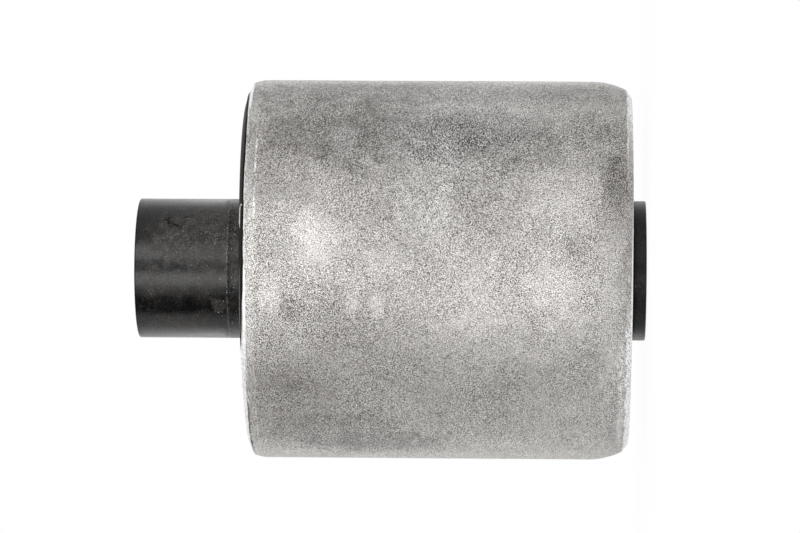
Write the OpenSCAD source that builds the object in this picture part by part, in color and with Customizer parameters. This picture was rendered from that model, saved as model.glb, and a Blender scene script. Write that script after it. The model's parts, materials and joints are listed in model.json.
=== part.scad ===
// Control arm bushing: a rubber body bonded between a steel outer sleeve and a steel inner sleeve.
// The axis is Z. The part stands on the short end of its inner sleeve, at z = 0. Sizes are in millimetres.

/* [Outer sleeve] */
// Outside diameter, a press fit in the control arm's eye
sleeve_od = 65; // [52:0.5:80]
// Length of the outer sleeve
sleeve_len = 65; // [45:0.5:90]
// Wall thickness, measured across the axis
sleeve_wall = 3; // [2.2:0.1:4.5]
// Length of the rolled nose, which enters the eye first
nose_len = 6.9; // [4:0.1:9]
// How far the rolled nose draws in, across the axis
nose_drop = 1.9; // [1:0.1:3]
// Length of the chamfer turned on the nose's edge
nose_chamfer_len = 0.95; // [0.4:0.05:1.5]
// Width that this chamfer takes off the nose's end face
nose_chamfer_depth = 0.85; // [0.3:0.05:1.2]
// Length of the shallow lead-in at the other end, the rim
lead_len = 1.6; // [0.5:0.1:3]
// Depth of the shallow lead-in, across the axis
lead_depth = 0.4; // [0.2:0.05:0.8]
// Length of the chamfer on the rim's edge
rim_chamfer_len = 0.7; // [0.4:0.1:1.5]
// Depth of the chamfer on the rim's edge, across the axis
rim_chamfer_depth = 1.5; // [0.4:0.05:1.7]

/* [Inner sleeve] */
// Outside diameter of the inner sleeve
tube_od = 24; // [20:0.5:30]
// Bore for the pivot bolt
bore_d = 14.2; // [10.2:0.1:16.2]
// How far the inner sleeve stands out of the nose
short_stub = 2.7; // [1.5:0.1:8]
// How far the inner sleeve stands out of the rim
long_stub = 19.3; // [6:0.1:30]
// Chamfer on the inner sleeve's outside edges
tube_chamfer = 0.15; // [0.1:0.05:1]
// Chamfer on both mouths of the bore
bore_chamfer = 0.8; // [0.3:0.1:1.5]

/* [Rubber body] */
// Height of the rubber's rim face over the sleeve's rim, at the axis
face_proud = 0.2; // [0.1:0.05:1.5]
// Lean of that face in degrees, which lifts it on the +X side
face_lean = 1.15; // [0.2:0.05:2]
// How far the rubber stays back from the nose's end
nose_recess = 1.2; // [0.5:0.1:3]
// Chamfer on the rubber's edge beside the rim
rubber_chamfer = 0.6; // [0.3:0.1:1.5]
// Width of the flat land beside the outer sleeve, at both ends
rim_land = 4; // [2:0.25:6]
// Width of the collar beside the inner sleeve, at both ends
collar_land = 1.5; // [1:0.1:3]
// Depth of the groove moulded into the rubber, at both ends
groove_depth = 5.5; // [2:0.25:8]
// Thickness of the bonding film between the rubber and the inner sleeve
bond_film = 0.02; // [0.01:0.01:0.05]

/* [Hidden] */
$fn = 180;

// Room by which a cut runs past the face that it opens
overcut = 2;

sleeve_r = sleeve_od / 2;
cavity_r = sleeve_r - sleeve_wall;
tube_r = tube_od / 2;
bore_r = bore_d / 2;
rubber_inner_r = tube_r + bond_film;

nose_z = short_stub;
rim_z = nose_z + sleeve_len;
tube_top_z = rim_z + long_stub;

// The nose's arc starts on the straight wall, which it touches, and ends nose_drop further in
nose_arc_r = (nose_len * nose_len + nose_drop * nose_drop) / (2 * nose_drop);
nose_end_r = sleeve_r - nose_drop;

// The rubber's leaning face is cut from a blank that reaches over its highest point
face_z = rim_z + face_proud;
blank_top_z = face_z + cavity_r * tan(face_lean) + overcut;
nose_face_z = nose_z + nose_recess;

// Outer limits of the groove in each face
rim_groove_r = cavity_r - rim_land;
nose_groove_r = cavity_r - nose_drop - rim_land;
collar_r = rubber_inner_r + collar_land;

// What the rolled nose leaves away from a wall of radius wall_r
module nose_relief(wall_r) {
    translate([wall_r - nose_arc_r, nose_z])
        difference() {
            translate([0, -overcut])
                square([nose_arc_r + overcut, nose_len + overcut]);
            translate([0, nose_len])
                circle(nose_arc_r);
        }
}

// Half section, from the axis out to a sleeve wall of radius wall_r, with room past both ends
module within_wall(wall_r) {
    difference() {
        translate([0, nose_z - overcut])
            square([wall_r, blank_top_z - nose_z + overcut]);
        nose_relief(wall_r);
    }
}

// Half section between two heights, wider than the part
module height_band(low_z, high_z) {
    translate([0, low_z])
        square([sleeve_od, high_z - low_z]);
}

// What the lead-in and the edge chamfer leave away at the rim
module rim_relief() {
    edge_r = sleeve_r - lead_depth;
    edge_z = rim_z - rim_chamfer_len;
    polygon([
        [edge_r - rim_chamfer_depth, rim_z],
        [edge_r, edge_z],
        [sleeve_r, edge_z - lead_len],
        [sleeve_r + overcut, edge_z - lead_len],
        [sleeve_r + overcut, rim_z + overcut],
        [edge_r - rim_chamfer_depth, rim_z + overcut],
    ]);
}

// Radius of the rolled nose at a height over its end
function nose_r(height) =
    sleeve_r - nose_arc_r + sqrt(nose_arc_r * nose_arc_r - (nose_len - height) * (nose_len - height));

// What the turned chamfer leaves away at the nose, on a line that runs on past the nose's arc
module nose_edge_relief() {
    chamfer_r = nose_end_r - nose_chamfer_depth;
    slope = nose_chamfer_len / (nose_r(nose_chamfer_len) - chamfer_r);
    reach = sleeve_od - chamfer_r;
    polygon([
        [chamfer_r, nose_z],
        [chamfer_r + reach, nose_z],
        [chamfer_r + reach, nose_z + reach * slope],
    ]);
}

// Round section of a groove between two radii, sunk groove_depth into a face at height 0
module groove_section(inner_r, outer_r) {
    half_width = (outer_r - inner_r) / 2;
    section_r = (half_width * half_width + groove_depth * groove_depth) / (2 * groove_depth);
    translate([(inner_r + outer_r) / 2, section_r - groove_depth])
        circle(section_r);
}

module outer_sleeve() {
    color("#a3a09b")
        rotate_extrude()
            difference() {
                intersection() {
                    within_wall(sleeve_r);
                    height_band(nose_z, rim_z);
                }
                within_wall(cavity_r);
                rim_relief();
                nose_edge_relief();
            }
}

// The rubber as it leaves the mould, before its rim face is shaped
module rubber_blank() {
    rotate_extrude()
        difference() {
            intersection() {
                within_wall(cavity_r);
                height_band(nose_face_z, blank_top_z);
            }
            square([rubber_inner_r, blank_top_z + overcut]);
            translate([0, nose_face_z])
                mirror([0, 1])
                    groove_section(collar_r, nose_groove_r);
        }
}

// What the rim face leaves away: the space above it, its groove and its chamfered edge
module rim_face_relief() {
    chamfer_reach = rubber_chamfer + overcut;
    translate([0, 0, face_z])
        rotate([0, -face_lean, 0])
            rotate_extrude() {
                square([sleeve_r, blank_top_z - face_z + sleeve_r]);
                groove_section(collar_r, rim_groove_r);
                polygon([
                    [cavity_r - rubber_chamfer, 0],
                    [cavity_r - rubber_chamfer + chamfer_reach, -chamfer_reach],
                    [cavity_r - rubber_chamfer + chamfer_reach, 0],
                ]);
            }
}

module rubber_body() {
    color("#1f1d1c")
        difference() {
            rubber_blank();
            rim_face_relief();
        }
}

module inner_sleeve() {
    color("#3b3a39")
        rotate_extrude()
            polygon([
                [bore_r + bore_chamfer, 0],
                [tube_r - tube_chamfer, 0],
                [tube_r, tube_chamfer],
                [tube_r, tube_top_z - tube_chamfer],
                [tube_r - tube_chamfer, tube_top_z],
                [bore_r + bore_chamfer, tube_top_z],
                [bore_r, tube_top_z - bore_chamfer],
                [bore_r, bore_chamfer],
            ]);
}

outer_sleeve();
rubber_body();
inner_sleeve();
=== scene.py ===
"""Dress a control arm bushing: a bare steel outer sleeve, a bonded rubber body and a black inner sleeve.

The file is laid out as an add-on and run as a script. Lengths are in metres. The bushing's axis is Z, it
stands on the short end of its inner sleeve, and angles round it start at -Y and grow towards +X.
"""

import json
import math

import bmesh
import bpy
from mathutils import Matrix, Vector


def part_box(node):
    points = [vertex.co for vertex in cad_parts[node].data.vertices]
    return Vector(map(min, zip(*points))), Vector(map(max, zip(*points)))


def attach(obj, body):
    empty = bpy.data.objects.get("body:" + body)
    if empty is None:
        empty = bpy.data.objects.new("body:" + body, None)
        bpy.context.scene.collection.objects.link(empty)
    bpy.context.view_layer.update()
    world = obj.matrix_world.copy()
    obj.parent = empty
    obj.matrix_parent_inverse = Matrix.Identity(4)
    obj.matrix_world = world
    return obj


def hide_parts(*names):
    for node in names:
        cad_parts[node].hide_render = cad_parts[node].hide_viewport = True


bl_info = {
    "name": "Control Arm Bushing",
    "version": (1, 0, 0),
    "blender": (4, 5, 0),
    "location": "3D View > Sidebar > Bushing",
    "description": "Builds the finished sleeves, rubber and studio of a control arm bushing",
    "category": "Object",
}

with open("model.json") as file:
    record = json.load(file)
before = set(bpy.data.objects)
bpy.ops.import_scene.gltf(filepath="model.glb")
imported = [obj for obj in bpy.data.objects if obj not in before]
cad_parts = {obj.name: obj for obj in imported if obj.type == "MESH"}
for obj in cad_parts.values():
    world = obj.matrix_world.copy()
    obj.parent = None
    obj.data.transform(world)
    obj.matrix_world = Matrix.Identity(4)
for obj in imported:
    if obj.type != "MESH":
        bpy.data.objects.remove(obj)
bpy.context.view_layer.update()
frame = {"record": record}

MM = 0.001
MICRON = 0.001 * MM
MOUNTS = {mount["name"]: mount for mount in frame["record"]["mounts"]}

SLEEVE_LOW, SLEEVE_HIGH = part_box("outer_sleeve")
RUBBER_LOW, RUBBER_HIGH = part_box("rubber_body")
TUBE_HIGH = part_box("inner_sleeve")[1]
SLEEVE_R = SLEEVE_HIGH.x
CAVITY_R = RUBBER_HIGH.x
TUBE_R = TUBE_HIGH.x
BORE_R = MOUNTS["bolt_bore"]["dims"]["r_mm"] * MM
NOSE_Z = SLEEVE_LOW.z
RIM_Z = SLEEVE_HIGH.z
TUBE_TOP_Z = TUBE_HIGH.z
NOSE_FACE_Z = RUBBER_LOW.z

# The straight wall that is pressed into the eye tells where the nose ends and the lead-in starts
WALL_MIDDLE_Z = MOUNTS["press_od"]["pos_m"][2]
WALL_HALF = MOUNTS["press_od"]["dims"]["length_mm"] * MM / 2
NOSE_LEN = WALL_MIDDLE_Z - WALL_HALF - NOSE_Z
LEAD_START_Z = WALL_MIDDLE_Z + WALL_HALF


# Settings that a user would change

class SleeveSettings(bpy.types.PropertyGroup):
    """Sizes and colours of the outer sleeve."""

    nose_drop: bpy.props.FloatProperty(
        name="Nose drop", description="How far the rolled nose draws in, across the axis",
        default=1.9 * MM, unit="LENGTH")
    nose_chamfer_len: bpy.props.FloatProperty(
        name="Nose chamfer length", description="Length of the turned chamfer on the nose's edge",
        default=0.95 * MM, unit="LENGTH")
    nose_chamfer_depth: bpy.props.FloatProperty(
        name="Nose chamfer depth", description="Width that this chamfer takes off the nose's end face",
        default=0.85 * MM, unit="LENGTH")
    lead_depth: bpy.props.FloatProperty(
        name="Lead-in depth", description="Depth of the shallow lead-in at the rim, across the axis",
        default=0.4 * MM, unit="LENGTH")
    rim_chamfer_len: bpy.props.FloatProperty(
        name="Rim chamfer length", description="Length of the chamfer on the rim's edge",
        default=0.7 * MM, unit="LENGTH")
    rim_chamfer_depth: bpy.props.FloatProperty(
        name="Rim chamfer depth", description="Depth of the chamfer on the rim's edge, across the axis",
        default=1.5 * MM, unit="LENGTH")
    edge_round: bpy.props.FloatProperty(
        name="Edge rounding", description="Radius on the sleeve's turned edges",
        default=0.14 * MM, unit="LENGTH")
    waviness: bpy.props.FloatProperty(
        name="Waviness", description="How far the drawn wall wanders in and out",
        default=0.07 * MM, unit="LENGTH")
    rim_lean: bpy.props.FloatProperty(
        name="Rim lean", description="Lean of the rim, which lifts its +X side a little",
        default=math.radians(0.3), subtype="ANGLE")
    nose_lean: bpy.props.FloatProperty(
        name="Nose lean", description="Lean of the nose's end, which lowers its +X side a little",
        default=math.radians(0.35), subtype="ANGLE")
    dark_steel: bpy.props.FloatVectorProperty(
        name="Dark steel", description="Colour in the pits of the grain",
        default=(0.054, 0.047, 0.040), size=3, subtype="COLOR")
    light_steel: bpy.props.FloatVectorProperty(
        name="Light steel", description="Colour on the ridges of the grain",
        default=(0.735, 0.716, 0.694), size=3, subtype="COLOR")
    stain: bpy.props.FloatVectorProperty(
        name="Stain", description="Colour of the brownish oil stains",
        default=(0.150, 0.132, 0.112), size=3, subtype="COLOR")
    turned_steel: bpy.props.FloatVectorProperty(
        name="Turned steel", description="Colour of the turned edges and of scratches",
        default=(0.74, 0.735, 0.72), size=3, subtype="COLOR")
    # Burnished also colours the painted highlight lines along the nose and the lead-in
    burnished: bpy.props.FloatVectorProperty(
        name="Burnished steel", description="Colour of the edges that are rubbed bright",
        default=(0.95, 0.95, 0.96), size=3, subtype="COLOR")


class RubberSettings(bpy.types.PropertyGroup):
    """Sizes and colours of the rubber body."""

    face_lean: bpy.props.FloatProperty(
        name="Face lean", description="Lean of the rim face, which lifts its +X side",
        default=math.radians(1.15), subtype="ANGLE")
    face_proud: bpy.props.FloatProperty(
        name="Face height", description="Height of the rim face over the sleeve's rim, at the axis",
        default=0.2 * MM, unit="LENGTH")
    lip_round: bpy.props.FloatProperty(
        name="Lip rounding", description="Radius on the rubber's edge beside the rim",
        default=0.6 * MM, unit="LENGTH")
    rim_land: bpy.props.FloatProperty(
        name="Rim land", description="Width of the flat land beside the outer sleeve",
        default=4.0 * MM, unit="LENGTH")
    collar_land: bpy.props.FloatProperty(
        name="Collar", description="Width of the collar beside the inner sleeve",
        default=1.5 * MM, unit="LENGTH")
    groove_depth: bpy.props.FloatProperty(
        name="Groove depth", description="Depth of the groove moulded into each face",
        default=5.5 * MM, unit="LENGTH")
    bond_film: bpy.props.FloatProperty(
        name="Bonding film", description="Thickness of the bonding film on the inner sleeve",
        default=20 * MICRON, unit="LENGTH")
    skin_thickness: bpy.props.FloatProperty(
        name="Skin thickness", description="Thickness of the rubber skin that laps over the rim",
        default=0.2 * MM, unit="LENGTH")
    black: bpy.props.FloatVectorProperty(
        name="Rubber", description="Colour of the rubber",
        default=(0.0055, 0.0048, 0.0042), size=3, subtype="COLOR")
    bloom: bpy.props.FloatVectorProperty(
        name="Bloom", description="Colour of the dull bloom on the rubber",
        default=(0.024, 0.0195, 0.0155), size=3, subtype="COLOR")
    flash: bpy.props.FloatVectorProperty(
        name="Flash", description="Colour of the dusty flash that the mould leaves behind",
        default=(0.60, 0.59, 0.58), size=3, subtype="COLOR")
    # The lifted edge's light brown colour is a painted sheen on the rubber
    lifted: bpy.props.FloatVectorProperty(
        name="Lifted edge", description="Colour of the skin's lifted edge",
        default=(0.17, 0.145, 0.125), size=3, subtype="COLOR")


class TubeSettings(bpy.types.PropertyGroup):
    """Sizes and colours of the inner sleeve and of the mould flash on it."""

    edge_chamfer: bpy.props.FloatProperty(
        name="Edge chamfer", description="Chamfer on the outside edges",
        default=0.15 * MM, unit="LENGTH")
    bore_chamfer: bpy.props.FloatProperty(
        name="Bore chamfer", description="Chamfer on both mouths of the bore",
        default=0.8 * MM, unit="LENGTH")
    witness_height: bpy.props.FloatProperty(
        name="Witness ring", description="Height of the mould's witness ring over the sleeve's rim",
        default=3.5 * MM, unit="LENGTH")
    witness_ridge: bpy.props.FloatProperty(
        name="Witness ridge", description="How far the mould's witness ring stands out",
        default=0.012 * MM, unit="LENGTH")
    crumb_size: bpy.props.FloatProperty(
        name="Crumb size", description="Largest radius of the crumbs of flash on the witness ring",
        default=0.11 * MM, unit="LENGTH")
    coat: bpy.props.FloatVectorProperty(
        name="Coat", description="Colour of the black coating",
        default=(0.0040, 0.0039, 0.0042), size=3, subtype="COLOR")
    smudge: bpy.props.FloatVectorProperty(
        name="Smudge", description="Colour of the dull smudges on the coating",
        default=(0.012, 0.0103, 0.0092), size=3, subtype="COLOR")
    dust: bpy.props.FloatVectorProperty(
        name="Dust", description="Colour of the fine dust",
        default=(0.078, 0.070, 0.063), size=3, subtype="COLOR")
    speck: bpy.props.FloatVectorProperty(
        name="Specks", description="Colour of the larger specks",
        default=(0.36, 0.34, 0.31), size=3, subtype="COLOR")


class StageSettings(bpy.types.PropertyGroup):
    """The photograph's view, and the light."""

    focal_px: bpy.props.FloatProperty(
        name="Focal length", description="Focal length in pixels of the 800 pixel wide picture",
        default=4137.0)
    distance: bpy.props.FloatProperty(
        name="Distance", description="Distance from the lens to the bushing's axis",
        default=713.0 * MM, unit="LENGTH")
    square_height: bpy.props.FloatProperty(
        name="Square height", description="Height on the axis at which the view is square to it",
        default=18.4 * MM, unit="LENGTH")
    roll: bpy.props.FloatProperty(
        name="Roll", description="How far the camera is rolled from square to the axis",
        default=math.radians(0.34), subtype="ANGLE")
    ambient: bpy.props.FloatProperty(
        name="Ambient light", description="Strength of the even light from all round",
        default=0.4)
    shadow_share: bpy.props.FloatProperty(
        name="Floor shading", description="Share of the floor's look that takes the shadow",
        default=0.035, subtype="FACTOR", min=0.0, max=1.0)


# Node trees

class Wire:
    """One socket of a node tree. Arithmetic on it adds Math nodes, and add() makes any other node."""

    def __init__(self, tree, socket=None):
        self.tree = tree
        self.socket = socket

    def add(self, kind, settings=None, inputs=None, output=0):
        """Add a node, with its settings first and then the values or links of its sockets."""
        node = self.tree.nodes.new(kind)
        for name, value in (settings or {}).items():
            setattr(node, name, value)
        for key, value in (inputs or {}).items():
            if isinstance(value, Wire):
                self.tree.links.new(value.socket, node.inputs[key])
            else:
                node.inputs[key].default_value = value
        return Wire(self.tree, node.outputs[output] if node.outputs else None)

    def other(self, output):
        """Another output of the same node."""
        return Wire(self.tree, self.socket.node.outputs[output])

    def maths(self, operation, *values):
        """A Math node on these values, in their order."""
        return self.add("ShaderNodeMath", {"operation": operation}, dict(enumerate(values)))

    def __add__(self, value):
        return self.maths("ADD", self, value)

    def __sub__(self, value):
        return self.maths("SUBTRACT", self, value)

    def __mul__(self, value):
        return self.maths("MULTIPLY", self, value)

    def __rsub__(self, value):
        return self.maths("SUBTRACT", value, self)

    def __abs__(self):
        return self.maths("ABSOLUTE", self)

    __radd__ = __add__
    __rmul__ = __mul__


def vector_maths(operation, first, second):
    """A Vector Math node on a wire and a wire or a plain vector."""
    return first.add("ShaderNodeVectorMath", {"operation": operation}, {0: first, 1: second})


def length(vector):
    """The length of a vector."""
    return vector.add("ShaderNodeVectorMath", {"operation": "LENGTH"}, {0: vector}, output="Value")


def step(value, low, high):
    """0 below low, 1 above high and smooth between. It falls where high is the lower one."""
    return value.add(
        "ShaderNodeMapRange", {"interpolation_type": "SMOOTHSTEP"},
        {"Value": value, "From Min": low, "From Max": high})


def noise(where, scale, detail=2.0, roughness=0.5, distortion=0.0):
    """Noise from 0 to 1, with that many cells in a metre."""
    return where.add(
        "ShaderNodeTexNoise", None,
        {"Vector": where, "Scale": scale, "Detail": detail, "Roughness": roughness,
         "Distortion": distortion})


def blend(share, first, second):
    """A colour between two colours."""
    return share.add(
        "ShaderNodeMix", {"data_type": "RGBA"}, {"Factor": share, 6: first, 7: second}, output=2)


def larger(first, second):
    """The larger of two values."""
    return first.maths("MAXIMUM", first, second)


def limited(value, most=1.0):
    """A value kept between 0 and the most that it may be."""
    return value.add("ShaderNodeClamp", None, {"Value": value, "Min": 0.0, "Max": most})


def scaled(vector, share):
    """A colour made darker or lighter, or a vector made shorter or longer, by a share."""
    return vector.add("ShaderNodeVectorMath", {"operation": "SCALE"}, {0: vector, "Scale": share})


def opaque(colour):
    """A settings colour as a shader's four numbers."""
    return (*colour, 1.0)


def start_material(name, constants):
    """A new material, with its shader's constant sockets set. Returns it, its shader and a wire."""
    material = bpy.data.materials.new(name)
    material.use_nodes = True
    shader = material.node_tree.nodes["Principled BSDF"]
    for socket, value in constants.items():
        shader.inputs[socket].default_value = value
    return material, shader, Wire(material.node_tree)


def feed(shader, wires):
    """Link wires to the shader's sockets."""
    for socket, wire in wires.items():
        wire.tree.links.new(wire.socket, shader.inputs[socket])


def bump(height, depth, strength):
    """A bump of that depth in metres."""
    return height.add(
        "ShaderNodeBump", None, {"Height": height, "Distance": depth, "Strength": strength})


# Where a round piece is unrolled, how much an end face's width counts as height, and how far the third
# coordinate slants
END_LAY = 0.6
SLANT = 0.5
# A patch is full up to the first of these shares of its half width, and gone from the second on
PATCH_FULL = 0.45
PATCH_GONE = 1.35


def unrolled(where, radius, middle_z):
    """Places on a round piece: the length round it from -Y, and the height, which runs on over both ends.

    The third coordinate slants, so that solid noise looks the same all over.
    """
    split = where.add("ShaderNodeSeparateXYZ", None, {0: where})
    across, along = split.other("X"), split.other("Y")
    turn = split.maths("ARCTAN2", across, along * -1.0)
    square = across * across + along * along
    out = square.maths("SQRT", square)
    round_it = turn * radius
    height = split.other("Z")
    side = height.maths("SIGN", height - middle_z)
    lay = height + (radius - out) * side * END_LAY
    slanted = (round_it - lay) * SLANT
    return where.add("ShaderNodeCombineXYZ", None, {"X": round_it, "Y": lay, "Z": slanted})


def strokes(flat, shape):
    """Noise drawn out into strokes, given as degrees from the way round, length and width in mm."""
    turn_deg, long_mm, wide_mm = shape
    turned = flat.add("ShaderNodeMapping", {"vector_type": "TEXTURE"}, {
        "Vector": flat,
        "Rotation": (0.0, 0.0, math.radians(turn_deg)),
        "Scale": (long_mm * MM, wide_mm * MM, wide_mm * MM)})
    return noise(turned, 1.0, 0.0)


def patch(flat, wander, turn_deg, height, half_round, half_high, radius):
    """A soft patch on an unrolled piece, whose edge wanders."""
    centre = (math.radians(turn_deg) * radius, height, 0.0)
    offset = vector_maths("SUBTRACT", flat, centre)
    shares = vector_maths("MULTIPLY", offset, (1 / half_round, 1 / half_high, 0.0))
    return step(length(shares) + wander, PATCH_GONE, PATCH_FULL)


def edge_band(over_edge, ragged, band):
    """A ragged band along an edge: how far below it, and the half widths at which it ends and is full."""
    below, ends, full = band
    return step(abs(over_edge + below + ragged), ends, full)


def patches(flat, wander, places, radius):
    """All patches of a list, each at its own strength, added up."""
    total = 0.0
    for turn_deg, height_mm, half_round_mm, half_high_mm, strength in places:
        spot = patch(flat, wander, turn_deg, height_mm * MM, half_round_mm * MM, half_high_mm * MM, radius)
        total = spot * strength + total
    return total


# Patches on the outer sleeve: degrees round it, height, half width and half height in mm, strength. They mix
# random mottling with painted shade: mostly lighter within about 30 degrees of the front, darker from about
# 40 to 70 degrees to either side
SLEEVE_TONES_AND_SHADE = (
    (9, 55.5, 5.5, 3.6, 0.24),
    (-8, 63, 4.0, 1.8, 0.16),
    (-10, 49, 2.4, 1.1, 0.20),
    (-10.5, 45, 2.4, 1.1, 0.20),
    (-6, 16, 5.0, 4.5, 0.16),
    (24, 16, 6.0, 9.0, 0.14),
    (-22, 27, 11.0, 10.0, 0.13),
    (-33, 13, 10.0, 8.0, 0.12),
    (-23, 58, 2.0, 1.8, 0.12),
    (-42, 40, 6.0, 6.0, 0.05),
    (-50, 14, 6.0, 9.0, 0.05),
    (-15, 6, 14.0, 3.0, 0.22),
    (11, 5.4, 5.0, 2.5, 0.09),
    (62, 46, 4.0, 5.0, 0.10),
    (32, 47, 5.0, 4.5, 0.14),
    (46, 44, 9.0, 22.0, -0.29),
    (43, 33, 5.5, 9.0, -0.26),
    (39, 49, 8.0, 5.0, -0.14),
    (22, 34, 9.0, 16.0, -0.10),
    (68, 38, 6.0, 40.0, -0.33),
    (47, 10, 5.0, 4.0, -0.14),
    (7, 12, 2.2, 2.2, -0.12),
    (66, 31, 4.5, 9.0, -0.18),
    (47, 27, 5.0, 11.0, -0.20),
    (44, 5, 4.0, 3.0, -0.15),
    (20, 39, 4.0, 4.0, -0.05),
    (28, 5, 6.0, 3.0, -0.30),
    (38, 22, 5.0, 8.0, -0.20),
    (5, 38, 5.0, 4.0, -0.06),
    (-12, 59, 2.2, 2.2, -0.18),
    (-15, 51, 6.0, 8.0, -0.10),
    (-37, 60, 3.5, 5.0, -0.14),
    (-58, 52, 7.0, 14.0, -0.17),
    (-66, 45, 4.0, 12.0, -0.20),
)
# Brownish stains, in the same form
SLEEVE_STAINS = (
    (38, 62, 9.0, 6.0, 0.5),
    (-42, 59, 10.0, 9.0, 0.6),
    (20, 7, 8.0, 4.0, 0.4),
    (-20, 45, 9.0, 12.0, 0.25),
    (150, 30, 14.0, 16.0, 0.5),
    (-120, 50, 12.0, 10.0, 0.4),
)
# Areas with fine bright scratches, in the same form
SLEEVE_SCRATCHED = (
    (52, 30, 14.0, 13.0, 1.0),
    (28, 37, 12.0, 6.0, 0.8),
    (42, 51, 4.0, 2.5, 0.8),
    (-140, 40, 25.0, 12.0, 0.8),
    (110, 20, 20.0, 10.0, 0.6),
)
# Areas where the grain is drawn out into longer strokes, in the same form
SLEEVE_DRAWN = (
    (27, 27, 7.0, 11.0, 0.4),
    (-150, 30, 14.0, 16.0, 0.6),
)
# Dull stretches of the bright band on the nose, in the same form
NOSE_DULLED = (
    (40, 3, 10.0, 4.0, 0.6),
    (22, 3, 9.0, 4.0, 0.8),
    (5, 3, 7.0, 4.0, 0.75),
    (-10, 3, 5.0, 4.0, 0.6),
    (-130, 3, 16.0, 4.0, 0.6),
    (140, 3, 12.0, 4.0, 0.5),
)
# Where bright flakes reach up from the nose's edge, in the same form
NOSE_FLAKED = (
    (-32, 3.9, 8.0, 1.0, 0.7),
    (-56, 3.9, 8.0, 0.8, 0.6),
    (-170, 3.9, 14.0, 1.0, 0.6),
)
# Stretches of the nose with a painted highlight line on its edge, in the same form
NOSE_EDGE_HIGHLIT = (
    (46, 4, 11.0, 3.0, 0.8),
    (-160, 4, 20.0, 3.0, 0.8),
)
# Stretches of the nose with a painted highlight line at its very end, in the same form
NOSE_END_HIGHLIT = (
    (-2, 3, 14.0, 3.0, 0.9),
    (175, 3, 20.0, 3.0, 0.8),
)
# Stretches where the lead-in starts with a painted highlight line, in the same form
LEAD_HIGHLIT = (
    (30, 65.4, 9.0, 3.0, 0.8),
    (-52, 65.4, 12.0, 3.0, 0.2),
    (160, 65.4, 16.0, 3.0, 0.7),
)
# Stretches below the rim's edge that are rubbed bright, partly a painted highlight, in the same form
RIM_RUBBED_AND_HIGHLIT = (
    (-15, 66.8, 10.0, 4.0, 0.5),
    (68, 66.8, 6.0, 4.0, 0.75),
    (170, 66.8, 20.0, 4.0, 0.7),
)
# Stretches below the rim's edge with a painted shadow line, in the same form
RIM_BURR_SHADOWED = (
    (-60, 66.8, 9.0, 4.0, 1.0),
    (130, 66.8, 14.0, 4.0, 0.7),
)
# Noises of the steel: cells in a metre, detail, roughness and distortion
STEEL_MOTTLING = (95, 4.0, 0.58, 0.5)
STEEL_BLOTCHES = (260, 3.0, 0.6, 0.6)
STEEL_COARSE = (620, 3.0, 0.6, 0.4)
STEEL_FINE = (6500, 0.0)
STEEL_SWING = (190, 1.0)
STEEL_WANDER = (330, 3.0, 0.6)
STEEL_FLAKES = (3200, 2.0)
# Strokes on the steel: degrees from the way round, length and width in mm
LEANING_GRAIN = (50, 0.20, 0.08)
CROSSING_GRAIN = (-40, 0.15, 0.08)
DRAWN_GRAIN = (50, 0.45, 0.10)
STEEP_SCRATCHES = (-17, 3.0, 0.15)
UPRIGHT_SCRATCHES = (-9, 3.6, 0.13)
TURNING_MARKS = (0, 7.0, 0.22)
# Bands along the sleeve's edges: how far below the edge, and the half widths at which they end and are full.
# The rubbed band is partly a painted highlight, the next a painted shadow line, and the lead-in's and the
# nose's bands painted highlight lines
RUBBED_AND_HIGHLIT_BAND = (0.10 * MM, 0.26 * MM, 0.10 * MM)
BURR_SHADOW_BAND = (0.12 * MM, 0.20 * MM, 0.07 * MM)
LEAD_HIGHLIGHT_BAND = (0.0, 0.24 * MM, 0.06 * MM)
NOSE_HIGHLIGHT_BAND = (0.0, 0.16 * MM, 0.05 * MM)
# Heights over the nose's edge at which its bright chamfer ends and is full
NOSE_FADE = (0.16 * MM, -0.14 * MM)
# Heights over the nose's end at which the painted highlight line along that end ends and is full
NOSE_END_HIGHLIGHT_FADE = (0.30 * MM, 0.14 * MM)
# Lengths round the sleeve from its front, between which the grain's painted shading grows: its colour
# contrast is stronger towards the sides
GRAIN_SHADE_FROM, GRAIN_SHADE_FULL = 12 * MM, 26 * MM
# Depth of the steel's bump
STEEL_RELIEF = 48 * MICRON


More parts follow.
